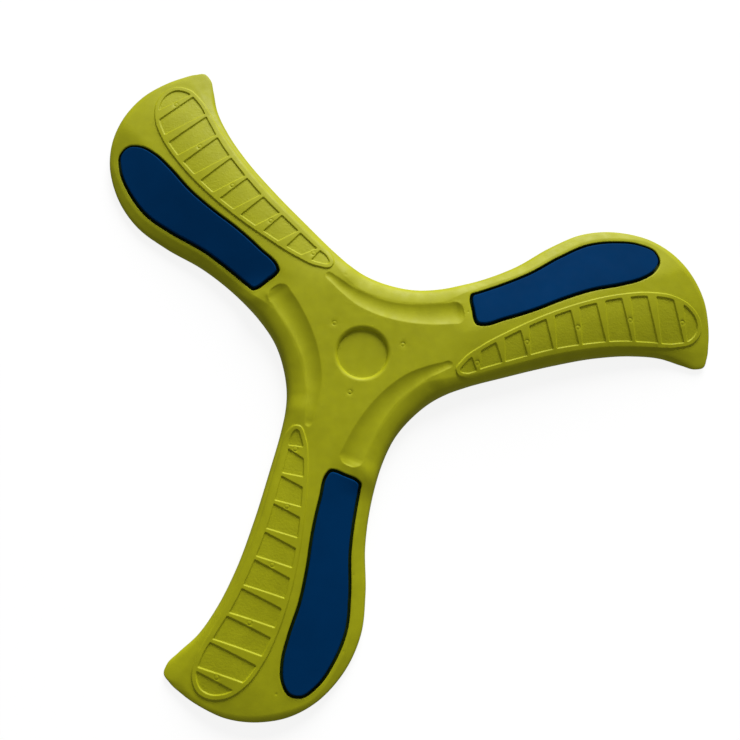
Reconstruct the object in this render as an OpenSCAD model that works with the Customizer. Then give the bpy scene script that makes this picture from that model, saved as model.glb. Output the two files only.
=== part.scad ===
// Three-wing soft boomerang: one moulded foam body with an inlaid pad on each wing.
// It lies flat on its underside. The hub axis is +Z, and wing 1 points along +X.

/* [Wings] */
// Distance from the hub axis to the wing tips
wing_r = 150; // [120:1:180]
// Points per control point along every curved outline
curve_steps = 3; // [2:1:4]

/* [Body] */
// Height of the flat top face above the underside
body_t = 9.5; // [8:0.5:14]
// Height of the widest line round the rim
edge_z = 1.2; // [0.8:0.1:2]

/* [Pads] */
// Thickness of an inlaid pad
pad_t = 2.5; // [1.5:0.1:4]
// How far a pad stands above the top face
pad_proud = 0.5; // [0:0.1:1]
// Gap between a pad and the wall of its pocket
pad_gap = 0.3; // [0.2:0.05:0.6]
// Radius of the rounded upper edge of a pad
pad_round = 0.6; // [0.2:0.1:1]
// Thickness of the glue film under a pad
film_t = 0.1; // [0.05:0.05:0.3]

/* [Ladder relief] */
// How far the rim and rungs stand above the top face
ladder_h = 0.5; // [0.2:0.1:1]
// Width of the rim round the ladder
rim_w = 1.8; // [1.2:0.1:2.2]
// Width of a rung at its narrow end, next to the trailing edge
rung_foot_w = 1.5; // [1:0.1:2]
// Width of a rung at its wide end, next to the pad
rung_top_w = 4; // [3:0.1:5]

/* [Hub] */
// Radius of the round recess at its mouth
recess_r = 12; // [9:0.5:13]
// Depth of the round recess
recess_depth = 1.6; // [0.8:0.1:3]
// Fall per mm of the crescent grooves, beside the hub
groove_slope = 0.46; // [0.36:0.02:0.56]

/* [Vent marks] */
// Radius of a vent mark
vent_r = 0.6; // [0.4:0.1:1]
// Depth of a vent mark
vent_depth = 0.25; // [0.1:0.05:0.4]

/* [Hidden] */

WINGS = 3;
foam_lime = [0.76, 0.80, 0.26];
pad_blue = [0.00, 0.20, 0.42];
film_clear = [0.85, 0.85, 0.80];

plan_scale = wing_r / 150;     // the outlines below are drawn for a 150 mm wing
recess_wall = 1.8;             // width of the rounded wall of the recess, in plan
pad_top = body_t + pad_proud;
pad_floor = pad_top - pad_t - film_t;
cut_lid = 1;                   // the cutters of the hub reach this far above the top face
cut_lip = 0.02;                // and their edges start this far above it, for a clean cut
ladder_root = 1.2;             // the ladder reaches this far down into the body
pad_round_rings = 3;

// Flank profile: a gentle slope falls away from the crown, steepens a little, and turns
// down into an almost upright side just inside the widest line.
flank_slope = 0.36;            // fall per mm beside the crown
flank_bend = 0.22;             // share of the flank's width that it falls further
flank_turn = 8;                // the higher, the tighter the turn into the side
flank_shares = [1, 0.98, 0.93, 0.84, 0.66, 0.36, 0];   // rings, from the rim to the crown
foot_inset = 0.18;             // share of the flank's width that the underside is set in

// One wing in plan, from the valley before it, out along the trailing edge, round the
// hooked tip and back along the leading edge: the widest line, then the crown beside it,
// where the flat top face begins.
wing_lines = [
    [[21, -25.5], [14.2, -16.8]],
    [[30, -18.5], [24.4, -10.4]],
    [[36, -15.5], [32.8, -8.9]],
    [[43, -13], [41.5, -8.6]],
    [[60, -8.4], [59, -4.4]],
    [[80, -3.5], [79.2, 0.6]],
    [[100, 0.2], [99.6, 4]],
    [[115, 1.2], [115, 4.7]],
    [[128, 0.1], [127.2, 4]],
    [[136.9, -2.8], [134.5, 3.7]],
    [[142.4, -4.3], [138.6, 4.2]],
    [[145.9, -3.5], [141.2, 5.6]],
    [[147.1, -0.5], [142.8, 7.8]],
    [[147.6, 6.2], [143.8, 11]],
    [[147.3, 15], [144.2, 16]],
    [[146.5, 25.4], [143, 24.6]],
    [[142.6, 35.8], [139.2, 33.8]],
    [[135.8, 45.3], [133, 42]],
    [[125.3, 52.3], [123.8, 49.4]],
    [[111, 56.4], [110.8, 51.8]],
    [[96, 55.2], [97.3, 50.6]],
    [[82.1, 49.2], [84, 44.9]],
    [[66, 39.8], [68.2, 35.9]],
    [[50, 33.4], [51.6, 29.6]],
    [[43, 31.4], [43.7, 25.9]],
    [[35, 29.7], [35.8, 18.6]],
    [[22, 28.9], [22, 18.4]]
];

// Outline of the pad pocket: square-cornered at the hub end, round at the tip end.
pocket_line = [
    [46.1, 13.6], [47, 12.1], [48.8, 11.6], [60, 14.2], [72, 18], [85, 23.2],
    [97, 27.2], [110, 29.9], [119, 32.6], [125, 36.4], [127.7, 41.3], [126, 46.4],
    [119, 50], [108, 51.1], [96, 49.5], [84, 44.1], [70, 36.1], [58, 31],
    [47.8, 27.3], [45.2, 26.3], [44.5, 24], [45.2, 18.5]
];

// Outer line of the ladder's rim, from its pointed hub end.
ladder_line = [
    [38.3, -7], [39.4, -9], [42, -9.6], [51, -7], [64, -3.3], [79, 0.7], [94, 3.3],
    [108, 4.7], [120, 4.5], [131, 4.2], [138.5, 6.3], [142.3, 11], [142.3, 16.5],
    [139, 22], [132, 26.1], [122, 27.5], [109, 26.4], [94, 23], [78, 17.5],
    [62, 10.3], [49, 3.4], [41.5, -2]
];

// Each rung's middle line, from the foot by the trailing edge to the top by the pad.
rungs = [
    [[47.5, -6.2], [46.7, -0.6]],
    [[58.1, -2.6], [56.8, 5.9]],
    [[68.8, 0.1], [67.4, 11]],
    [[79.8, 2.6], [78.3, 15.7]],
    [[90.6, 4.7], [89, 19.6]],
    [[102, 6.3], [100.1, 22.8]],
    [[113.2, 6.8], [111.1, 24.9]],
    [[124.2, 6.2], [122.2, 25.7]],
    [[135.3, 6.6], [133.6, 24]]
];
rung_overrun = 0.15;           // share of a rung's length that runs into the rim

// Crescent groove in the valley after wing 1, from its narrow end to its blunt end. A row
// holds a point on the valley side, where the groove breaks through the flank and leaves a
// crest, a point on the hub side, the share of the full slope, and the crest's drop in mm.
groove_rows = [
    [-15, 34.2, -15.6, 33.4, 0.3, 0],
    [-14.1, 34.5, -15.3, 32.4, 0.9, 0],
    [-11, 32.9, -13.2, 30.1, 1, 0.1],
    [-5, 28.8, -9, 25.8, 1, 0.45],
    [2, 25.4, -2, 20.2, 1, 0.85],
    [10, 22.5, 7, 16, 1, 1.05],
    [19, 21.2, 17.5, 13.3, 1, 1.1],
    [28, 21.2, 28, 12.3, 1, 1.15],
    [36, 21.9, 37, 12.6, 1, 1.2],
    [39.6, 22.2, 40.7, 13.1, 0.9, 0.5],
    [41.6, 20.6, 42.2, 14.8, 0.6, 0.2],
    [42.4, 18.2, 42.6, 16.8, 0.1, 0]
];
groove_cuts = 6;               // facets across a groove

vent_hub = [17, 12.5];         // distance and bearing of the vent mark beside the recess
vent_along = 0.47;             // where a rung's vent mark lies, from foot to top

// ---- Functions ----

function turn(p, a) = [p[0] * cos(a) - p[1] * sin(a), p[0] * sin(a) + p[1] * cos(a)];

// Direction of a smooth curve at its middle point b, weighted by the distances.
function heading(a, b, c) =
    let(u = norm(b - a), w = norm(c - b))
    ((b - a) * w / u + (c - b) * u / w) / (u + w);

function blend(a, b, ta, tb, s) =
    let(d = norm(b - a), q = s * s, c = q * s)
    (2 * c - 3 * q + 1) * a + (c - 2 * q + s) * d * ta
    + (3 * q - 2 * c) * b + (c - q) * d * tb;

// A smooth closed curve through the points.
function loop(p, steps = curve_steps) =
    let(
        n = len(p),
        t = [for (i = [0:n - 1]) heading(p[(i + n - 1) % n], p[i], p[(i + 1) % n])]
    )
    [for (i = [0:n - 1], j = [0:steps - 1])
        blend(p[i], p[(i + 1) % n], t[i], t[(i + 1) % n], j / steps)];

// A smooth open curve through the rows, whatever each row holds.
function run(p, steps = curve_steps) =
    let(
        n = len(p),
        last = n - 1,
        t = [for (i = [0:last])
            i == 0 ? (p[1] - p[0]) / norm(p[1] - p[0])
            : i == last ? (p[last] - p[last - 1]) / norm(p[last] - p[last - 1])
            : heading(p[i - 1], p[i], p[i + 1])]
    )
    concat(
        [for (i = [0:last - 1], j = [0:steps - 1])
            blend(p[i], p[i + 1], t[i], t[i + 1], j / steps)],
        [p[last]]
    );

// A closed curve moved inwards by d.
function inset(p, d) =
    let(n = len(p))
    [for (i = [0:n - 1])
        let(v = p[(i + 1) % n] - p[(i + n - 1) % n])
        p[i] + d * [-v[1], v[0]] / norm(v)];

function all_wings(p) = [for (k = [0:WINGS - 1], q = p) turn(q, k * 360 / WINGS)];

function raised(ring, z) = [for (p = ring) [p[0], p[1], z]];

rim = plan_scale * loop(all_wings([for (w = wing_lines) w[0]]));
crown = plan_scale * loop(all_wings([for (w = wing_lines) w[1]]));
pocket = plan_scale * loop(pocket_line);
pad_edge = inset(pocket, pad_gap);
ladder_rim = plan_scale * loop(ladder_line);
ladder_hole = inset(ladder_rim, rim_w);
groove = run(groove_rows);

// ---- Building blocks ----

// Closed solid through a row of rings that all have the same number of points. Each ring
// runs counter-clockwise as seen from the ring after it.
module ring_solid(rings) {
    n = len(rings[0]);
    top = (len(rings) - 1) * n;
    polyhedron(
        points = [for (r = rings, p = r) p],
        faces = concat(
            [[for (i = [0:n - 1]) i]],
            [for (k = [0:len(rings) - 2], i = [0:n - 1])
                [k * n + i, (k + 1) * n + i, k * n + (i + 1) % n]],
            [for (k = [0:len(rings) - 2], i = [0:n - 1])
                [k * n + (i + 1) % n, (k + 1) * n + i, (k + 1) * n + (i + 1) % n]],
            [[for (i = [n - 1:-1:0]) top + i]]
        )
    );
}

// Ring solid that stands on z = 0, with ring heights from 0 to 1 stretched to the height.
module ring_stack(rings, height) {
    resize([0, 0, height])
        ring_solid(rings);
}

module at_wing(k) {
    rotate([0, 0, k * 360 / WINGS]) children();
}

module every_wing() {
    for (k = [0:WINGS - 1])
        at_wing(k) children();
}

// ---- Body ----

// Fall from the crown at share u of a flank of width w and height h.
function flank_fall(u, w, h) =
    let(gentle = flank_slope + flank_bend)
    w * (flank_slope * u + flank_bend * u * u)
    + (h - gentle * w) * (1 - sqrt(1 - pow(u, flank_turn)));

module body_blank() {
    reach = crown - rim;
    flank = [for (u = flank_shares)
        [for (i = [0:len(rim) - 1])
            let(
                p = rim[i] + (1 - u) * reach[i],
                fall = flank_fall(u, norm(reach[i]), body_t - edge_z)
            )
            [p[0], p[1], 1 - fall / body_t]]];
    foot = [
        raised(rim + foot_inset * reach, 0),
        raised(rim + 0.3 * foot_inset * reach, 0.3 * edge_z / body_t)
    ];
    ring_stack(concat(foot, flank), body_t);
}

module pad_pocket() {
    translate([0, 0, pad_floor])
        linear_extrude(body_t - pad_floor + 1)
            polygon(pocket);
}

module rung(line) {
    foot = plan_scale * line[0];
    top = plan_scale * line[1];
    run_in = rung_overrun * (top - foot);
    half_foot = [rung_foot_w / 2, 0];
    half_top = [rung_top_w / 2, 0];
    polygon([
        foot - run_in - half_foot,
        foot - run_in + half_foot,
        top + run_in + half_top,
        top + run_in - half_top
    ]);
}

// Raised rim with nine rungs across it.
module ladder() {
    translate([0, 0, body_t - ladder_root])
        linear_extrude(ladder_root + ladder_h)
            difference() {
                polygon(ladder_rim);
                polygon(ladder_hole);
            }
    translate([0, 0, body_t - ladder_root])
        linear_extrude(ladder_root + ladder_h)
            intersection() {
                polygon(inset(ladder_rim, rim_w / 2));
                union() {
                    for (line = rungs)
                        rung(line);
                }
            }
}

// Trough that falls from its hub side and rises a little to its crest.
module groove_cutter() {
    ring_solid([for (g = groove)
        let(
            valley_side = plan_scale * [g[0], g[1]],
            hub_side = plan_scale * [g[2], g[3]],
            fall = groove_slope * g[4] * norm(hub_side - valley_side),
            lid_z = body_t + cut_lid
        )
        concat(
            [[valley_side[0], valley_side[1], lid_z], [hub_side[0], hub_side[1], lid_z]],
            [for (j = [0:groove_cuts])
                let(s = j / groove_cuts, p = hub_side + s * (valley_side - hub_side))
                [p[0], p[1], body_t + cut_lip - s * fall + s * s * (fall - g[5])]]
        )]);
}

// Round recess. Its wall stands up from a crisp corner and rounds over into the top face.
module recess_cutter() {
    floor_r = recess_r - recess_wall;
    floor_z = body_t - recess_depth;
    wall = [for (a = [0:15:90])
        [floor_r + recess_wall * (1 - cos(a)), floor_z + (recess_depth + cut_lip) * sin(a)]];
    rotate_extrude($fn = 96)
        polygon(concat(
            [[0, body_t + cut_lid], [0, floor_z]],
            wall,
            [[recess_r, body_t + cut_lid]]
        ));
}

module vent(x, y, z) {
    translate([x, y, z - vent_depth])
        cylinder(h = vent_depth + 1, r = vent_r, $fn = 24);
}

module vents() {
    spot = plan_scale * vent_hub[0] * [cos(vent_hub[1]), sin(vent_hub[1])];
    vent(spot[0], spot[1], body_t);
    for (i = [0:2:len(rungs) - 1]) {
        p = plan_scale * (rungs[i][0] + vent_along * (rungs[i][1] - rungs[i][0]));
        vent(p[0], p[1], body_t + ladder_h);
    }
}

module foam_body() {
    color(foam_lime)
        difference() {
            union() {
                body_blank();
                every_wing() ladder();
            }
            every_wing() pad_pocket();
            every_wing() groove_cutter();
            every_wing() vents();
            recess_cutter();
        }
}

// ---- Pads ----

module wing_pad() {
    rounded = [for (k = [0:pad_round_rings])
        let(a = 90 * k / pad_round_rings)
        raised(inset(pad_edge, pad_round * (1 - cos(a))), 1 - pad_round / pad_t * (1 - sin(a)))];
    color(pad_blue)
        translate([0, 0, pad_floor + film_t])
            ring_stack(concat([raised(pad_edge, 0)], rounded), pad_t);
}

module pad_adhesive() {
    color(film_clear)
        translate([0, 0, pad_floor])
            linear_extrude(film_t)
                polygon(inset(pad_edge, 0.5));
}

foam_body();
at_wing(0) wing_pad();  // wing_pad_1
at_wing(1) wing_pad();  // wing_pad_2
at_wing(2) wing_pad();  // wing_pad_3
at_wing(0) pad_adhesive();  // pad_adhesive_1
at_wing(1) pad_adhesive();  // pad_adhesive_2
at_wing(2) pad_adhesive();  // pad_adhesive_3
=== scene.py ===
"""Looks of a three-wing soft boomerang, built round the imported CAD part.

Lengths are in millimetres and angles in degrees, until a mesh is made in metres.
A wing's shapes are drawn for wing 1, which points along +X, and turned to the other two.
"""

import math

import bpy
import numpy as np
from mathutils import Euler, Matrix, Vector
from mathutils.geometry import delaunay_2d_cdt
from mathutils.kdtree import KDTree


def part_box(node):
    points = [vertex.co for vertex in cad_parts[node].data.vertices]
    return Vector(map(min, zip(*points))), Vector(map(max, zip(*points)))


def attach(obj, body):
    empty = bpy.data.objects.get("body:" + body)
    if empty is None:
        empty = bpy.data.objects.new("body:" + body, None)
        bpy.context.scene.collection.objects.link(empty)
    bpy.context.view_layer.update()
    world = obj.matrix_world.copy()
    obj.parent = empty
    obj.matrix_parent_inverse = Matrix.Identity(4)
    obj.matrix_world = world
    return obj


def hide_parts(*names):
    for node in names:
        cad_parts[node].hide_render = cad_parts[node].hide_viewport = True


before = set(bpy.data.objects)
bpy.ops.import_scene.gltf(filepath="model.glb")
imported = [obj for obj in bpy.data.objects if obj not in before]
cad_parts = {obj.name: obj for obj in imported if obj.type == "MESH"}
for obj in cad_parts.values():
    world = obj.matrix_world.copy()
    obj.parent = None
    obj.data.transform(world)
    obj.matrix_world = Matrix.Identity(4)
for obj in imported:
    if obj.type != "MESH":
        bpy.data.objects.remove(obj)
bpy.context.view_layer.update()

# ---- Sizes, as the CAD part has them ----

MM = 0.001
WINGS = 3
THIRD = 360 / WINGS

LADDER_H = 0.5
BODY_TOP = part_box("foam_body")[1].z / MM - LADDER_H
PAD_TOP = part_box("wing_pad_1")[1].z / MM
PAD_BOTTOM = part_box("wing_pad_1")[0].z / MM
POCKET_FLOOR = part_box("pad_adhesive_1")[0].z / MM
EDGE_Z = 1.2
FOOT_INSET = 0.18
FLANK_BEND, FLANK_TURN = 0.22, 8
RIM_W = 1.8
RUNG_FOOT_W, RUNG_TOP_W = 1.5, 4
RECESS_R, RECESS_WALL, RECESS_DEPTH = 12, 1.8, 1.6
GROOVE_SLOPE = 0.46

# ---- Detail that only the looks have ----

LIP_ROUND = 0.45                       # rounded lip of a pad pocket
POCKET_INSET = 0.35                    # how much smaller a pocket is all round than in the CAD part
POCKET_SOFT = 0.7                      # rounding of the pocket's corners
PAD_SEAM = 1.2                         # width of the seam between a pad and its pocket, dark with shade and with painted shade on its walls
PAD_RISE = 0.3                         # how far a pad stands above its place in the CAD part
PAD_SOFT = 0.5                         # rounding of a pad's corners in plan
PAD_ROUND = 0.5                        # rounded upper edge of a pad
PAD_BAND, PAD_MARGIN = 0.6, 0.15       # rings that keep that edge crisp, below and inside it
FILM_INSET, FILM_CLEAR = 0.5, 0.005    # glue film: how far inside the pad's edge, and free of it
LIT_WALL = 0.2                         # how far below its lip a pocket wall starts to carry painted shade
WALL_W = 0.55                          # width in plan of the ladder's sloping walls
CORNER_SOFT = 0.3                      # rounding of the ladder cells' corners
VENT_R, VENT_DEPTH, VENT_W = 0.85, 0.2, 0.3    # ring groove of a vent mark
VENT_DEEP_SIDE = 1.2                   # bearing of a vent's deeper side, in radians
DIP_FADE = 4                           # distance over which a low stretch of the crown fades out
WING_SPLIT = 32                        # bearing behind wing 1 where its third of the body begins

# each wing's section is arched: one side falls from a line beside the pad, one from the ladder
PAD_START, PAD_SLOPE = -5.3, 0.31
REAR_START, REAR_SLOPE = 3, 0.19
PAD_TILT, PAD_TILT_SOFT = 0.22, 3      # slope of the pad's side, reached after this many mm
REAR_BEND = 0.006                      # the ladder's side falls by this times distance squared
TAPER_FROM, TAPER = 60, 0.0005         # thinning towards the tip, by distance squared
TIP_FROM, TIP_TAPER = 128, 0.0045
PAD_FADE, REAR_FADE = (34, 20), (27, 23)
MOST_DROP = 7.2
SPREAD = 1 / 305                       # a point moves outwards a little as it sinks

# widest line, then crown, round one wing: as in the CAD part, but for the crown near the hub
WING_LINES = [
    [[21, -25.5], [16.2, -19.4]],
    [[30, -18.5], [25.5, -12]],
    [[36, -15.5], [33.2, -9.6]],
    [[43, -13], [41.5, -8.6]],
    [[60, -8.4], [59, -4.4]],
    [[80, -3.5], [79.2, 0.6]],
    [[100, 0.2], [99.6, 4]],
    [[115, 1.2], [115, 4.7]],
    [[128, 0.1], [127.2, 4]],
    [[136.9, -2.8], [134.5, 3.7]],
    [[142.4, -4.3], [138.6, 4.2]],
    [[145.9, -3.5], [141.2, 5.6]],
    [[147.1, -0.5], [142.8, 7.8]],
    [[147.6, 6.2], [143.8, 11]],
    [[147.3, 15], [144.2, 16]],
    [[146.5, 25.4], [143, 24.6]],
    [[142.6, 35.8], [139.2, 33.8]],
    [[135.8, 45.3], [133, 42]],
    [[125.3, 52.3], [123.8, 49.4]],
    [[111, 56.4], [110.8, 51.8]],
    [[96, 55.2], [97.3, 50.6]],
    [[82.1, 49.2], [84, 44.9]],
    [[66, 39.8], [68.2, 35.9]],
    [[50, 33.4], [51.6, 29.6]],
    [[43, 31.4], [43.6, 26.4]],
    [[35, 29.7], [35.5, 22.7]],
    [[22, 28.9], [22, 21.8]],
]

# at each of those rows: fall of the crown below the top face, how softly the flank starts,
# and its slope after that
CROWN_DIP = [1.05, 0.65, 0.15] + [0] * 21 + [0.1, 1.2, 1.15]
CROWN_SOFT = [
    0.05, 0.05, 1.5, 1.5, 0.6, 0.3, 0.3, 0.3, 0.5, 1.5, 2.5, 2.5, 2.5, 2,
    2, 2, 2, 1.5, 0.8, 0.4, 0.4, 0.4, 0.4, 0.4, 0.3, 0.05, 0.05,
]
FLANK_SLOPES = [
    0.18, 0.18, 0.22, 0.28, 0.36, 0.38, 0.38, 0.38, 0.4, 0.46, 0.48, 0.5, 0.58, 0.62,
    0.62, 0.62, 0.55, 0.6, 0.7, 0.75, 0.75, 0.75, 0.7, 0.6, 0.4, 0.18, 0.18,
]

# outlines of the pocket and of the ladder, as in the CAD part
POCKET_LINE = [
    [46.1, 13.6], [47, 12.1], [48.8, 11.6], [60, 14.2], [72, 18], [85, 23.2],
    [97, 27.2], [110, 29.9], [119, 32.6], [125, 36.4], [127.7, 41.3], [126, 46.4],
    [119, 50], [108, 51.1], [96, 49.5], [84, 44.1], [70, 36.1], [58, 31],
    [47.8, 27.3], [45.2, 26.3], [44.5, 24], [45.2, 18.5],
]

LADDER_LINE = [
    [38.3, -7], [39.4, -9], [42, -9.6], [51, -7], [64, -3.3], [79, 0.7], [94, 3.3],
    [108, 4.7], [120, 4.5], [131, 4.2], [138.5, 6.3], [142.3, 11], [142.3, 16.5],
    [139, 22], [132, 26.1], [122, 27.5], [109, 26.4], [94, 23], [78, 17.5],
    [62, 10.3], [49, 3.4], [41.5, -2],
]

# how far the raised rim runs out over the flank, at each point of the ladder line
SKIRT = [0, 0, 0.4, 1.4, 1.6, 1.6, 1.6, 1.4, 0.5] + [0] * 13

# foot and top of each rung's middle line
RUNGS = [
    [[47.5, -6.2], [46.7, -0.6]],
    [[58.1, -2.6], [56.8, 5.9]],
    [[68.8, 0.1], [67.4, 11]],
    [[79.8, 2.6], [78.3, 15.7]],
    [[90.6, 4.7], [89, 19.6]],
    [[102, 6.3], [100.1, 22.8]],
    [[113.2, 6.8], [111.1, 24.9]],
    [[124.2, 6.2], [122.2, 25.7]],
    [[135.3, 6.6], [133.6, 24]],
]
VENT_ALONG = 0.47                      # where a rung's vent mark lies, from foot to top
VENT_HUB_R, VENT_HUB_TURN = 17, 12.5   # distance and bearing of the one beside the recess

# groove: point on the valley side, point on the hub side, share of the full slope
GROOVE_ROWS = [
    [-15, 34.2, -15.6, 33.4, 0.3],
    [-14.1, 34.5, -15.3, 32.4, 0.9],
    [-11, 32.9, -13.2, 30.1, 1],
    [-5, 28.8, -9, 25.8, 1],
    [2, 25.4, -2, 20.2, 1],
    [10, 22.5, 7, 16, 1],
    [19, 21.2, 17.5, 13.3, 1],
    [28, 21.2, 28, 12.3, 1],
    [36, 21.9, 37, 12.6, 1],
    [39.6, 22.2, 40.7, 13.1, 0.9],
    [41.6, 20.6, 42.2, 14.8, 0.6],
    [42.4, 18.2, 42.6, 16.8, 0.1],
]

# small moulding flaws: wing, place, radius, depth
PITS = [
    (3, 103, 51.4, 0.5, 0.25),
    (3, 77, 40.8, 0.4, 0.2),
    (3, 129, 37.3, 0.45, 0.2),
    (3, 116.7, 3.3, 0.4, 0.2),
    (1, -7, 33.5, 0.45, 0.2),
    (1, 44, 18, 0.35, 0.15),
]

# ---- Lines in the plane ----


def turned(p, degrees):
    a = math.radians(degrees)
    return p @ np.array([[math.cos(a), math.sin(a)], [-math.sin(a), math.cos(a)]])


def heading(a, b, c):
    u, w = np.linalg.norm(b - a), np.linalg.norm(c - b)
    return ((b - a) * w / u + (c - b) * u / w) / (u + w)


def unit(v):
    return v / np.linalg.norm(v)


def step_counts(p, gap, closed=True):
    d = lengths(p)
    return np.maximum(1, np.ceil((d if closed else d[:-1]) / gap)).astype(int)


def curve(p, counts, closed=True):
    """A smooth curve through the control points, as the CAD part draws it."""
    n = len(p)
    t = [heading(p[i - 1], p[i], p[(i + 1) % n]) for i in range(n)]
    if not closed:
        t[0], t[-1] = unit(p[1] - p[0]), unit(p[-1] - p[-2])
    out = []
    for i, m in enumerate(counts):
        a, b, ta, tb = p[i], p[(i + 1) % n], t[i], t[(i + 1) % n]
        d = np.linalg.norm(b - a)
        s = (np.arange(m) / m)[:, None]
        q, c = s * s, s * s * s
        ends = (2 * c - 3 * q + 1) * a + (c - 2 * q + s) * d * ta
        out.append(ends + (3 * q - 2 * c) * b + (c - q) * d * tb)
    if not closed:
        out.append(p[-1:])
    return np.vstack(out)


def sides(p):
    """Unit vectors that point inwards from a closed counter-clockwise line."""
    v = np.roll(p, -1, axis=0) - np.roll(p, 1, axis=0)
    v /= np.linalg.norm(v, axis=1)[:, None]
    return np.c_[-v[:, 1], v[:, 0]]


def inset(p, d):
    return p + np.reshape(d, (-1, 1)) * sides(p)


def lengths(p):
    return np.linalg.norm(np.roll(p, -1, axis=0) - p, axis=1)


def at_shares(p, cost, n):
    """n points of a closed line, evenly spread by the cost of each of its steps."""
    c = np.r_[0, np.cumsum(cost)]
    q = np.vstack([p, p[:1]])
    at = np.arange(n) * c[-1] / n
    return np.c_[np.interp(at, c, q[:, 0]), np.interp(at, c, q[:, 1])]


def softened(p, sigma, fine=0.1):
    """A closed line with its corners rounded."""
    d = lengths(p)
    n = int(d.sum() / fine)
    p = at_shares(p, d, n)
    w = 2 * np.pi * np.fft.fftfreq(n, d=d.sum() / n)
    z = np.fft.ifft(np.fft.fft(p[:, 0] + 1j * p[:, 1]) * np.exp(-0.5 * (sigma * w) ** 2))
    return np.c_[z.real, z.imag]


def thinned(p, gap=0.6, bend=12):
    """A closed line with a point every gap, and more where it bends."""
    v = np.roll(p, -1, axis=0) - p
    a = np.arctan2(v[:, 1], v[:, 0])
    bent = np.abs((np.roll(a, -1) - a + np.pi) % (2 * np.pi) - np.pi)
    cost = lengths(p) / gap + bent / math.radians(bend)
    return at_shares(p, cost, int(np.ceil(cost.sum())))


def cut(p, a, b):
    """The part of a polygon on the left of the line from a to b."""
    ab = b - a
    side = ab[0] * (p[:, 1] - a[1]) - ab[1] * (p[:, 0] - a[0])
    out = []
    for i in range(len(p)):
        j = (i + 1) % len(p)
        if side[i] >= 0:
            out.append(p[i])
        if side[i] * side[j] < 0:
            out.append(p[i] + (p[j] - p[i]) * side[i] / (side[i] - side[j]))
    return np.array(out)


def depth_in(points, line):
    """Distance inside a closed line, negative outside it."""
    a = line
    b = np.roll(line, -1, axis=0)
    ab = b - a
    size = (ab**2).sum(axis=1)
    rise = np.where(np.abs(ab[:, 1]) < 1e-12, 1e-12, ab[:, 1])
    out = np.empty(len(points))
    for i in range(0, len(points), 2000):
        p = points[i : i + 2000, None, :]
        ap = p - a
        t = np.clip((ap * ab).sum(axis=2) / size, 0, 1)
        near = np.sqrt(((ap - t[..., None] * ab) ** 2).sum(axis=2).min(axis=1))
        crosses = (a[:, 1] > p[..., 1]) != (b[:, 1] > p[..., 1])
        left = p[..., 0] < a[:, 0] + ap[..., 1] * ab[:, 0] / rise
        odd = (crosses & left).sum(axis=1) % 2 == 1
        out[i : i + 2000] = np.where(odd, near, -near)
    return out


def tree_of(points):
    """A search tree over points in the plane."""
    tree = KDTree(len(points))
    for i, q in enumerate(points):
        tree.insert((q[0], q[1], 0), i)
    tree.balance()
    return tree


def smooth_step(t):
    t = np.clip(t, 0, 1)
    return t * t * t * (t * (6 * t - 15) + 10)


# ---- Shapes of one wing ----

lines = np.array(WING_LINES, float)
pairs = np.concatenate([
    np.c_[turned(lines[:, 0], k * THIRD), turned(lines[:, 1], k * THIRD)] for k in range(WINGS)
])
counts = step_counts(pairs[:, :2], 0.5)
rim = curve(pairs[:, :2], counts)
crown = curve(pairs[:, 2:], counts)


def along(values):
    """A value per control row of one wing, spread smoothly round the whole outline."""
    v = np.tile(values, WINGS)
    out = []
    for a, b, m in zip(v, np.roll(v, -1), counts):
        s = np.arange(m) / m
        out.append(a + (b - a) * s * s * (3 - 2 * s))
    return np.concatenate(out)


crown_dip, crown_soft, flank_slope = along(CROWN_DIP), along(CROWN_SOFT), along(FLANK_SLOPES)
crown_tree = tree_of(crown)


def dip(p):
    """How far the face falls towards a low stretch of the crown."""
    out = np.empty(len(p))
    for i, q in enumerate(p):
        _, near, away = crown_tree.find((q[0], q[1], 0))
        out[i] = crown_dip[near] * (1 - smooth_step(away / DIP_FADE))
    return out


pocket = np.array(POCKET_LINE, float)
pocket = inset(softened(curve(pocket, step_counts(pocket, 0.3)), POCKET_SOFT), POCKET_INSET)
pocket = thinned(pocket)

ladder = np.array(LADDER_LINE, float)
ladder_counts = step_counts(ladder, 0.3)
skirt_out = np.concatenate([
    np.linspace(a, b, m, endpoint=False) for a, b, m in zip(SKIRT, np.roll(SKIRT, -1), ladder_counts)
])
ladder_edge = curve(ladder, ladder_counts)
ladder_wide = thinned(softened(inset(ladder_edge, -skirt_out), 0.3))
ladder_hole = softened(inset(ladder_edge, RIM_W), 0.15)


def rung_sides(line):
    foot, top = np.array(line, float)
    low, high = np.array([RUNG_FOOT_W / 2, 0]), np.array([RUNG_TOP_W / 2, 0])
    return (foot - low, top - high), (foot + low, top + high)


cells = []
for k in range(len(RUNGS) + 1):
    cell = ladder_hole
    if k > 0:
        foot, top = rung_sides(RUNGS[k - 1])[1]
        cell = cut(cell, top, foot)
    if k < len(RUNGS):
        foot, top = rung_sides(RUNGS[k])[0]
        cell = cut(cell, foot, top)
    cells.append(thinned(softened(cell, CORNER_SOFT), bend=14))

vents = [turned(np.array([[VENT_HUB_R, 0.0]]), VENT_HUB_TURN)[0]]
for foot, top in RUNGS[::2]:
    foot, top = np.array(foot, float), np.array(top, float)
    vents.append(foot + VENT_ALONG * (top - foot))

groove = np.array(GROOVE_ROWS, float)
groove = curve(groove, step_counts(groove, 0.6, closed=False), closed=False)


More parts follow.
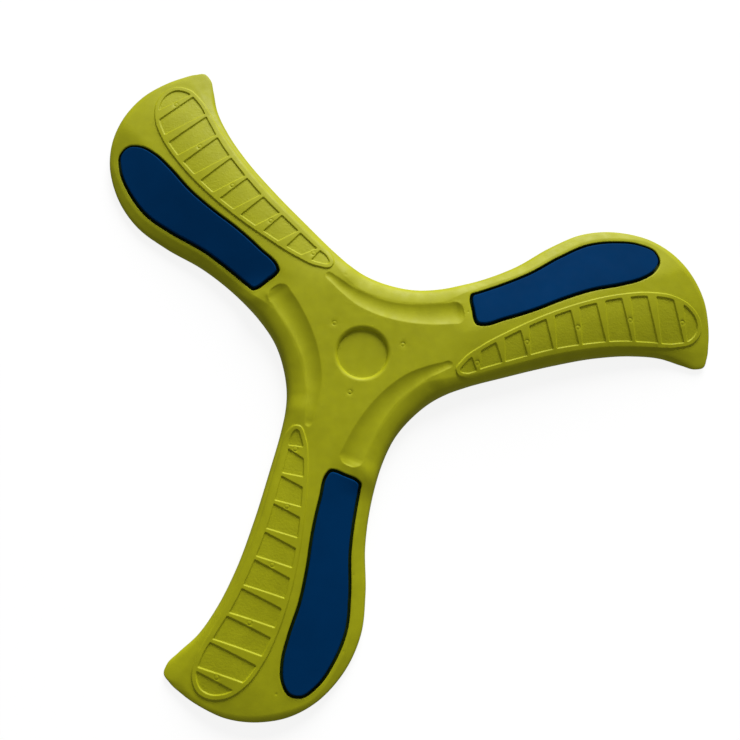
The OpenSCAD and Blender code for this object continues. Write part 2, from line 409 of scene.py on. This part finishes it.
def relief(p):
    """Height of the moulded relief above the flat top face, at points of wing 1."""
    z = np.zeros(len(p))
    inside = depth_in(p, ladder_wide)
    near = np.flatnonzero(inside > -WALL_W)
    if len(near):
        q = p[near]
        sunk = np.max([depth_in(q, c) for c in cells], axis=0)
        raised = LADDER_H * smooth_step(inside[near] / WALL_W + 0.5)
        z[near] = raised * (1 - smooth_step(sunk / WALL_W + 0.5))
    for v in vents:
        r = np.linalg.norm(p - v, axis=1)
        bearing = np.arctan2(p[:, 1] - v[1], p[:, 0] - v[0])
        deeper = 0.5 + 0.5 * np.cos(bearing - VENT_DEEP_SIDE)
        z -= VENT_DEPTH * (0.4 + 0.6 * deeper) * np.exp(-(((r - VENT_R) / VENT_W) ** 2))
    return z


def to_wings(p):
    """Which wing each point belongs to, and the point turned to wing 1."""
    bearing = np.degrees(np.arctan2(p[:, 1], p[:, 0]))
    wing = np.floor(((bearing + WING_SPLIT) % 360) / THIRD).astype(int)
    q = np.empty_like(p)
    for k in range(WINGS):
        q[wing == k] = turned(p[wing == k], -k * THIRD)
    return wing, q


def wing_drop(p):
    """How far the flat top face sinks at each point, so that the wings are arched and taper."""
    _, q = to_wings(p)
    x, y = q.T
    pad_side = np.maximum(y - PAD_START - PAD_SLOPE * x, 0)
    pad_side = PAD_TILT * (np.hypot(pad_side, PAD_TILT_SOFT) - PAD_TILT_SOFT)
    rear = REAR_BEND * np.minimum(y - REAR_START - REAR_SLOPE * x, 0) ** 2
    drop = smooth_step((x - PAD_FADE[0]) / PAD_FADE[1]) * pad_side
    drop += smooth_step((x - REAR_FADE[0]) / REAR_FADE[1]) * rear
    drop += TAPER * np.maximum(x - TAPER_FROM, 0) ** 2 + TIP_TAPER * np.maximum(x - TIP_FROM, 0) ** 2
    return drop / (1 + (drop / MOST_DROP) ** 4) ** 0.25


def bent(xyz, whole=False):
    """Points of the flat design, moved to the arched wings. The foot of the body stays put."""
    z = xyz[:, 2]
    share = 1.0 if whole else np.clip((z - EDGE_Z) / (BODY_TOP - EDGE_Z), 0, 1)
    drop = wing_drop(xyz[:, :2]) * share
    return np.c_[xyz[:, :2] * (1 + SPREAD * drop)[:, None], z - drop]


def pit_place(wing, x, y):
    return turned(np.array([[x, y]], float), (wing - 1) * THIRD)[0]


def marks(p):
    """Height of the relief and of the moulding flaws above the bare surface."""
    _, q = to_wings(p)
    z = relief(q)
    for w, x, y, r, d in PITS:
        away = np.linalg.norm(p - pit_place(w, x, y), axis=1)
        z -= d * np.exp(-((away / r) ** 2))
    return z


def in_cells(p):
    """1 on the ladder's sunk floors, 0 elsewhere."""
    _, q = to_wings(p)
    return smooth_step(np.max([depth_in(q, c) for c in cells], axis=0) / WALL_W + 0.5)


# ---- The foam body as one closed mesh ----


class Plan:
    """Points of the top face. A later group keeps clear of what is already there."""

    def __init__(self):
        self.xy = np.empty((0, 2))
        self.z = np.empty(0)

    def add(self, p, z=None, clear=0.0):
        p = np.asarray(p, float)
        z = np.full(len(p), np.nan) if z is None else np.broadcast_to(z, len(p)).astype(float)
        if clear and len(self.xy):
            tree = tree_of(self.xy)
            far = np.array([tree.find((q[0], q[1], 0))[2] > clear for q in p], bool)
            p, z = p[far], z[far]
        start = len(self.xy)
        self.xy = np.vstack([self.xy, p])
        self.z = np.r_[self.z, z]
        return list(range(start, len(self.xy)))


def circle(x, y, r, n):
    a = 2 * np.pi * np.arange(n) / n
    return np.c_[x + r * np.cos(a), y + r * np.sin(a)]


def grid(low, high, gap):
    """Points in a square grid between two corners."""
    x, y = np.meshgrid(np.arange(low[0], high[0], gap), np.arange(low[1], high[1], gap))
    return np.c_[x.ravel(), y.ravel()]


plan = Plan()
crown_ids = plan.add(crown)
pocket_rings = [turned(pocket, k * THIRD) for k in range(WINGS)]
pocket_ids = [plan.add(ring, BODY_TOP - LIP_ROUND) for ring in pocket_rings]
for ring in pocket_rings:
    for a in (22, 45, 68, 90):
        out = LIP_ROUND * (1 - math.cos(math.radians(a)))
        plan.add(inset(ring, -out), BODY_TOP - LIP_ROUND + LIP_ROUND * math.sin(math.radians(a)))
    plan.add(inset(ring, -LIP_ROUND - 0.25), BODY_TOP)

# recess: floor, crisp corner, rounded wall, then the top face beyond the lip
floor_z = BODY_TOP - RECESS_DEPTH
floor_r = RECESS_R - RECESS_WALL
RECESS_POINTS = 160
plan.add([[0, 0]], floor_z)
for r, n in ((2, 12), (4, 24), (6, 36), (8, 56), (9.3, 84), (floor_r - 0.25, RECESS_POINTS)):
    plan.add(circle(0, 0, r, n), floor_z)
plan.add(circle(0, 0, floor_r - 0.06, RECESS_POINTS), floor_z + 0.02)
for a in range(6, 97, 9):
    a = min(a, 90)
    c, s = math.cos(math.radians(a)), math.sin(math.radians(a))
    plan.add(circle(0, 0, floor_r + RECESS_WALL * (1 - c), RECESS_POINTS), floor_z + RECESS_DEPTH * s)
plan.add(circle(0, 0, RECESS_R + 0.4, 130), BODY_TOP)

# grooves
ACROSS = np.array([0, 0.03, 0.08, 0.16, 0.26, 0.38, 0.5, 0.62, 0.74, 0.84, 0.92, 0.97, 1])
for k in range(WINGS):
    valley, hub, share = groove[:, :2], groove[:, 2:4], groove[:, 4]
    fall = GROOVE_SLOPE * share * np.linalg.norm(hub - valley, axis=1)
    low = dip(turned(valley, k * THIRD))
    for s in ACROSS:
        z = BODY_TOP - s * fall + s * s * (fall - low) - 0.03 * (s in (0, 1))
        plan.add(turned(hub + s * (valley - hub), k * THIRD), z)
    ring = thinned(turned(np.vstack([hub, valley[::-1]]), k * THIRD), bend=25)
    for d in (0.12, 0.3):
        out = inset(ring, -d)
        out = out[(depth_in(out, ring) < -0.8 * d) & (depth_in(out, crown) > 0.15)]
        plan.add(out, clear=0.1)


def keep_on_top(p, margin=0.2):
    """Points that lie on the top face, clear of its edge, the pockets, the recess and the grooves."""
    ok = depth_in(p, crown) > margin
    ok &= np.linalg.norm(p, axis=1) > RECESS_R + 0.5
    for ring in pocket_rings:
        ok &= depth_in(p, ring) < -LIP_ROUND - 0.3
    for k in range(WINGS):
        ring = turned(np.vstack([groove[:, 2:4], groove[::-1, :2]]), k * THIRD)
        ok &= depth_in(p, ring) < -0.35
    return p[ok]


wing_points = []
for v in vents:
    wing_points += [v[None]]
    for r, n in ((0.2, 6), (0.4, 12), (0.55, 18), (0.7, 20), (0.85, 24), (1, 24), (1.15, 24), (1.4, 24)):
        wing_points += [circle(v[0], v[1], r, n)]
vent_points = np.vstack(wing_points)
line_points = []
for line in [ladder_wide, *cells]:
    for d in (-0.5, -0.3, -0.15, 0, 0.15, 0.3, 0.5):
        q = inset(line, d)
        line_points.append(q[np.abs(depth_in(q, line)) > 0.85 * abs(d) - 1e-6])
line_points = np.vstack(line_points)
for k in range(WINGS):
    plan.add(keep_on_top(turned(vent_points, k * THIRD)), clear=0.08)
for w, x, y, r, _ in PITS:
    spot = pit_place(w, x, y)
    rings = [spot[None]]
    for f, n in ((0.4, 8), (0.8, 12), (1.2, 14), (1.7, 14), (2.4, 14)):
        rings.append(circle(spot[0], spot[1], r * f, n))
    plan.add(keep_on_top(np.vstack(rings)), clear=0.08)
for k in range(WINGS):
    plan.add(keep_on_top(turned(line_points, k * THIRD)), clear=0.1)

# an even spread of points over what is left, in rows that are shifted by half a gap
GAP, ROW_GAP = 1.4, 0.866
lo, hi = crown.min(axis=0), crown.max(axis=0)
gx, gy = np.meshgrid(np.arange(lo[0], hi[0], GAP), np.arange(lo[1], hi[1], GAP * ROW_GAP))
gx = gx + (np.arange(gx.shape[0]) % 2)[:, None] * GAP / 2
fill = np.c_[gx.ravel(), gy.ravel()]
plan.add(keep_on_top(fill, 0.5), clear=0.525 * GAP)

unset = np.isnan(plan.z)
plan.z[unset] = BODY_TOP - dip(plan.xy[unset]) + marks(plan.xy[unset])
crown_z = BODY_TOP - dip(crown)


def triangulate(xy, rings):
    """Triangles between the first ring and the others, which are holes."""
    got = delaunay_2d_cdt([Vector(p) for p in xy], [], [list(r) for r in rings], 1, 1e-7, True)
    verts, _, faces, from_verts, _, from_faces = got
    source = [ids[0] if ids else -1 for ids in from_verts]
    if -1 in source:
        raise ValueError("the outlines cross")
    return [[source[i] for i in f] for f, ids in zip(faces, from_faces) if list(ids) == [0]]


def sheet(ring, gap=3):
    """A closed line filled with triangles whose points are evenly spread."""
    p = Plan()
    p.add(ring)
    inner = grid(ring.min(axis=0), ring.max(axis=0), gap)
    p.add(inner[depth_in(inner, ring) > gap / 2])
    return p.xy, triangulate(p.xy, [range(len(ring))])


def band(low, high):
    """Quads between two closed rings. The outside is on the right of the low ring's run."""
    following = [*range(1, len(low)), 0]
    return [[low[i], low[j], high[j], high[i]] for i, j in enumerate(following)]


verts = [np.c_[plan.xy, plan.z]]
faces = triangulate(plan.xy, [crown_ids, *pocket_ids])
total = len(plan.xy)
n = len(rim)


def add_verts(xyz):
    global total
    verts.append(xyz)
    total += len(xyz)
    return list(range(total - len(xyz), total))


# flank: rows from the widest line up to the crown
FLANK_SHARES = [
    1, 0.997, 0.987, 0.97, 0.945, 0.91, 0.86, 0.8, 0.73, 0.66, 0.6,
    0.55, 0.5, 0.45, 0.4, 0.35, 0.3, 0.25, 0.2, 0.15, 0.1, 0.05,
]
reach = crown - rim
wide = np.linalg.norm(reach, axis=1)


def gentle_fall(x):
    return flank_slope * (np.hypot(x, crown_soft) - crown_soft) + FLANK_BEND * x * x / wide


rest = crown_z - EDGE_Z - gentle_fall(wide)
rows = []
for u in FLANK_SHARES:
    z = crown_z - gentle_fall(u * wide) - rest * (1 - math.sqrt(1 - u**FLANK_TURN))
    p = rim + (1 - u) * reach
    rows.append(add_verts(np.c_[p, z + (marks(p) if u < 0.9 else 0)]))
for low, high in zip(rows, rows[1:] + [crown_ids]):
    faces += band(low, high)

# foot: rounded edge below the widest line, then the flat underside
low_rows = [rows[0]]
for a in (20, 40, 60, 78, 90):
    c, s = math.cos(math.radians(a)), math.sin(math.radians(a))
    low_rows.append(add_verts(np.c_[rim + reach * FOOT_INSET * (1 - c), np.full(n, EDGE_Z * (1 - s))]))
for high, low in zip(low_rows, low_rows[1:]):
    faces += band(low, high)
foot = rim + reach * FOOT_INSET
inner_line = inset(foot, 0.4)
inner = add_verts(np.c_[inner_line, np.zeros(n)])
faces += band(inner, low_rows[-1])

UNDER_GAP, UNDER_CLEAR = 8, 3
under = Plan()
under.add(inner_line)
fill = grid(lo, hi, UNDER_GAP)
under.add(fill[depth_in(fill, inner_line) > UNDER_CLEAR])
under_ids = inner + add_verts(np.c_[under.xy[n:], np.zeros(len(under.xy) - n)])
for f in triangulate(under.xy, [range(n)]):
    faces.append([under_ids[i] for i in reversed(f)])

body_xyz = bent(np.vstack(verts))

# pockets: a straight wall down to the floor, with painted shade on wall and floor from a little below
# the lip
shade_start = len(body_xyz)
pocket_parts = []
for ring, ids in zip(pocket_rings, pocket_ids):
    shade_ids = add_verts(body_xyz[list(ids)] - [0, 0, LIT_WALL])
    pocket_parts.append(verts[-1])
    xy, floor_faces = sheet(ring)
    foot_ids = add_verts(np.c_[xy, np.full(len(xy), POCKET_FLOOR)])
    pocket_parts.append(bent(verts[-1], whole=True))
    faces += band(ids, shade_ids) + band(shade_ids, foot_ids[: len(ring)])
    faces += [[foot_ids[i] for i in f] for f in floor_faces]
body_xyz = np.vstack([body_xyz, *pocket_parts])


def mesh_object(name, verts, faces, material):
    me = bpy.data.meshes.new(name)
    me.from_pydata((np.asarray(verts) * MM).tolist(), [], faces)
    me.update()
    me.shade_smooth()
    me.materials.append(material)
    o = bpy.data.objects.new(name, me)
    bpy.context.scene.collection.objects.link(o)
    return o


# ---- Materials ----


class Nodes:
    def __init__(self, name):
        self.material = bpy.data.materials.new(name)
        self.material.use_nodes = True
        self.tree = self.material.node_tree
        self.shader = self.tree.nodes["Principled BSDF"]
        self.coords = self.new("ShaderNodeTexCoord").outputs["Object"]

    def new(self, kind, **values):
        node = self.tree.nodes.new(kind)
        for key, value in values.items():
            setattr(node, key, value)
        return node

    def link(self, a, b):
        self.tree.links.new(a, b)

    def noise(self, size_mm, detail=2.0, rough=0.5):
        """Noise with features of about size_mm."""
        node = self.new("ShaderNodeTexNoise")
        node.inputs["Scale"].default_value = 1 / (size_mm * MM)
        node.inputs["Detail"].default_value = detail
        node.inputs["Roughness"].default_value = rough
        self.link(self.coords, node.inputs["Vector"])
        return node.outputs["Fac"]

    def ramp(self, source, *stops):
        node = self.new("ShaderNodeValToRGB")
        while len(node.color_ramp.elements) < len(stops):
            node.color_ramp.elements.new(0.5)
        for element, (at, color) in zip(node.color_ramp.elements, stops):
            element.position = at
            element.color = (*color, 1)
        self.link(source, node.inputs["Fac"])
        return node.outputs["Color"]

    def level(self, source, low, high, at=(0.3, 0.7)):
        node = self.new("ShaderNodeMapRange")
        for key, value in zip(("From Min", "From Max", "To Min", "To Max"), (*at, low, high)):
            node.inputs[key].default_value = value
        self.link(source, node.inputs["Value"])
        return node.outputs["Result"]

    def blend(self, factor, a, b, mode="MIX"):
        node = self.new("ShaderNodeMix", data_type="RGBA", blend_type=mode)
        for key, value in ((0, factor), (6, a), (7, b)):
            if hasattr(value, "links"):
                self.link(value, node.inputs[key])
            else:
                node.inputs[key].default_value = value
        return node.outputs[2]

    def bump(self, height, depth_mm, strength=1.0, after=None):
        node = self.new("ShaderNodeBump")
        if hasattr(strength, "links"):
            self.link(strength, node.inputs["Strength"])
        else:
            node.inputs["Strength"].default_value = strength
        node.inputs["Distance"].default_value = depth_mm * MM
        self.link(height, node.inputs["Height"])
        if after is not None:
            self.link(after, node.inputs["Normal"])
        return node.outputs["Normal"]


def foam_material():
    m = Nodes("lime_foam")
    tone = m.ramp(m.noise(38, 3), (0.3, (0.480, 0.490, 0.005)), (0.7, (0.525, 0.540, 0.008)))
    mottle = m.ramp(m.noise(5, 3), (0.3, (0.94, 0.94, 0.92)), (0.7, (1.04, 1.04, 1.06)))
    plain = m.blend(1.0, tone, mottle, "MULTIPLY")
    # painted shade: a dark green colour on the pocket walls and floors, standing in for the shade in the
    # seam
    painted_shade = m.ramp(m.noise(2, 2), (0.3, (0.026, 0.052, 0.004)), (0.7, (0.042, 0.076, 0.006)))
    in_seam = m.new("ShaderNodeAttribute", attribute_name="seam_shade").outputs["Fac"]
    m.link(m.blend(in_seam, plain, painted_shade), m.shader.inputs["Base Color"])
    m.link(m.level(m.noise(3, 3), 0.46, 0.60), m.shader.inputs["Roughness"])
    m.shader.inputs["Specular IOR Level"].default_value = 0.22
    grain = m.bump(m.noise(0.55, 3, 0.6), 0.05, 0.5)
    ripple = m.bump(m.noise(7, 2), 0.25, 0.35, grain)
    textured = m.new("ShaderNodeAttribute", attribute_name="cell_floor").outputs["Fac"]
    m.link(m.bump(m.noise(0.9, 2, 0.7), 0.11, textured, ripple), m.shader.inputs["Normal"])
    return m.material


def pad_material():
    m = Nodes("blue_pad")
    tone = m.ramp(m.noise(24, 3), (0.3, (0.0001, 0.038, 0.136)), (0.7, (0.0002, 0.045, 0.162)))
    m.link(tone, m.shader.inputs["Base Color"])
    m.link(m.level(m.noise(4, 3), 0.56, 0.70), m.shader.inputs["Roughness"])
    m.shader.inputs["Specular IOR Level"].default_value = 0.02
    grain = m.bump(m.noise(0.45, 3, 0.6), 0.04, 0.5)
    m.link(m.bump(m.noise(9, 2), 0.25, 0.3, grain), m.shader.inputs["Normal"])
    return m.material


def film_material():
    m = Nodes("glue_film")
    tone = m.ramp(m.noise(3, 3), (0.3, (0.70, 0.68, 0.60)), (0.7, (0.78, 0.77, 0.70)))
    m.link(tone, m.shader.inputs["Base Color"])
    m.link(m.level(m.noise(1.5, 2), 0.25, 0.4), m.shader.inputs["Roughness"])
    return m.material


foam, blue, film = foam_material(), pad_material(), film_material()

body = mesh_object("soft_body", body_xyz, faces, foam)
floor_mask = np.zeros(len(body_xyz))
floor_mask[: len(plan.xy)] = in_cells(plan.xy)
body.data.attributes.new("cell_floor", "FLOAT", "POINT").data.foreach_set("value", floor_mask)
# painted shade on the pocket walls and floors: every vertex from the first one below a lip on
seam_mask = (np.arange(len(body_xyz)) >= shade_start).astype(float)
body.data.attributes.new("seam_shade", "FLOAT", "POINT").data.foreach_set("value", seam_mask)
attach(body, "root")
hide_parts("foam_body")

# ---- Pads ----


# the pad's outline, with the places dropped where the shrunk line would cross itself
pad_edge = inset(pocket, PAD_SEAM)
pad_edge = pad_edge[depth_in(pad_edge, pocket) > 0.95 * PAD_SEAM]
pad_edge = thinned(softened(pad_edge, PAD_SOFT))
pad_top = PAD_TOP + PAD_RISE


def pad_mesh(k):
    m = len(pad_edge)
    rings = [(pad_edge, pad_top - PAD_ROUND - PAD_BAND)]
    for a in range(0, 91, 15):
        c, s = math.cos(math.radians(a)), math.sin(math.radians(a))
        rings.append((inset(pad_edge, PAD_ROUND * (1 - c)), pad_top - PAD_ROUND * (1 - s)))
    bottom, bottom_faces = sheet(pad_edge)
    top, top_faces = sheet(inset(pad_edge, PAD_ROUND + PAD_MARGIN))
    parts = [np.c_[bottom, np.full(len(bottom), PAD_BOTTOM)]]
    parts += [np.c_[p, np.full(m, z)] for p, z in rings]
    parts += [np.c_[top, np.full(len(top), pad_top)]]
    out = [list(reversed(f)) for f in bottom_faces]
    starts = [0] + [len(bottom) + r * m for r in range(len(rings) + 1)]
    for low, high in zip(starts, starts[1:]):
        out += band(range(low, low + m), range(high, high + m))
    out += [[i + starts[-1] for i in f] for f in top_faces]
    return turned_mesh(parts, k), out


def film_mesh(k):
    edge = inset(pad_edge, FILM_INSET)
    m = len(edge)
    xy, fill = sheet(edge)
    n = len(xy)
    parts = [np.c_[xy, np.full(n, z)] for z in (POCKET_FLOOR + FILM_CLEAR, PAD_BOTTOM - FILM_CLEAR)]
    out = [list(reversed(f)) for f in fill] + [[i + n for i in f] for f in fill]
    out += band(range(m), range(n, n + m))
    return turned_mesh(parts, k), out


def turned_mesh(parts, k):
    xyz = np.vstack(parts)
    xyz[:, :2] = turned(xyz[:, :2], k * THIRD)
    return bent(xyz, whole=True)


for k in range(WINGS):
    pad = mesh_object(f"blue_pad_{k + 1}", *pad_mesh(k), blue)
    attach(pad, "root")
    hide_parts(f"wing_pad_{k + 1}")
    glue = mesh_object(f"glue_film_{k + 1}", *film_mesh(k), film)
    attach(glue, "root")
    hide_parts(f"pad_adhesive_{k + 1}")

# ---- Floor, light and camera, with places in metres and powers in watts ----

FLOOR_GLOW = 0.86
SKY_STRENGTH = 0.17
KEY_PLACE, KEY_SIZE, KEY_POWER = (0.92, 4.4, 1.68), 3.1, 302
VIEW_PLACE = (-0.0112, -0.0646, 0.3125)
VIEW_TURN = (10.74, -2.68, -0.09)
LENS, SENSOR = 36.9, 36


def floor_material():
    m = Nodes("pale_floor")
    tone = m.ramp(m.noise(300, 2), (0.3, (0.24, 0.24, 0.24)), (0.7, (0.26, 0.26, 0.26)))
    m.link(tone, m.shader.inputs["Base Color"])
    m.shader.inputs["Roughness"].default_value = 0.9
    m.shader.inputs["Specular IOR Level"].default_value = 0.1
    m.shader.inputs["Emission Color"].default_value = (1, 1, 1, 1)
    m.shader.inputs["Emission Strength"].default_value = FLOOR_GLOW
    return m.material


FLOOR_HALF, FLOOR_LOW = 3000, 0.1      # the floor lies just under the body
floor_corners = [[x * FLOOR_HALF, y * FLOOR_HALF, 0] for x, y in ((-1, -1), (1, -1), (1, 1), (-1, 1))]
floor = mesh_object("floor", floor_corners, [[0, 1, 2, 3]], floor_material())
floor.location.z = -FLOOR_LOW * MM
floor.visible_diffuse = False
floor.visible_glossy = False

world = bpy.data.worlds.new("studio")
bpy.context.scene.world = world
world.use_nodes = True
background = world.node_tree.nodes["Background"]
background.inputs["Color"].default_value = (1.0, 1.0, 1.0, 1)
background.inputs["Strength"].default_value = SKY_STRENGTH


def area_light(name, place, aim, size, power):
    data = bpy.data.lights.new(name, "AREA")
    data.shape = "DISK"
    data.size = size
    data.energy = power
    o = bpy.data.objects.new(name, data)
    o.location = place
    o.rotation_euler = (Vector(aim) - Vector(place)).to_track_quat("-Z", "Y").to_euler()
    bpy.context.scene.collection.objects.link(o)


area_light("key", KEY_PLACE, (0, 0, 0), KEY_SIZE, KEY_POWER)

camera = bpy.data.cameras.new("camera")
camera.sensor_width = SENSOR
camera.lens = LENS
camera.clip_start = 0.01
view = bpy.data.objects.new("camera", camera)
view.location = VIEW_PLACE
view.rotation_euler = Euler([math.radians(a) for a in VIEW_TURN])
bpy.context.scene.collection.objects.link(view)
bpy.context.scene.camera = view
bpy.context.scene.view_settings.view_transform = "Standard"
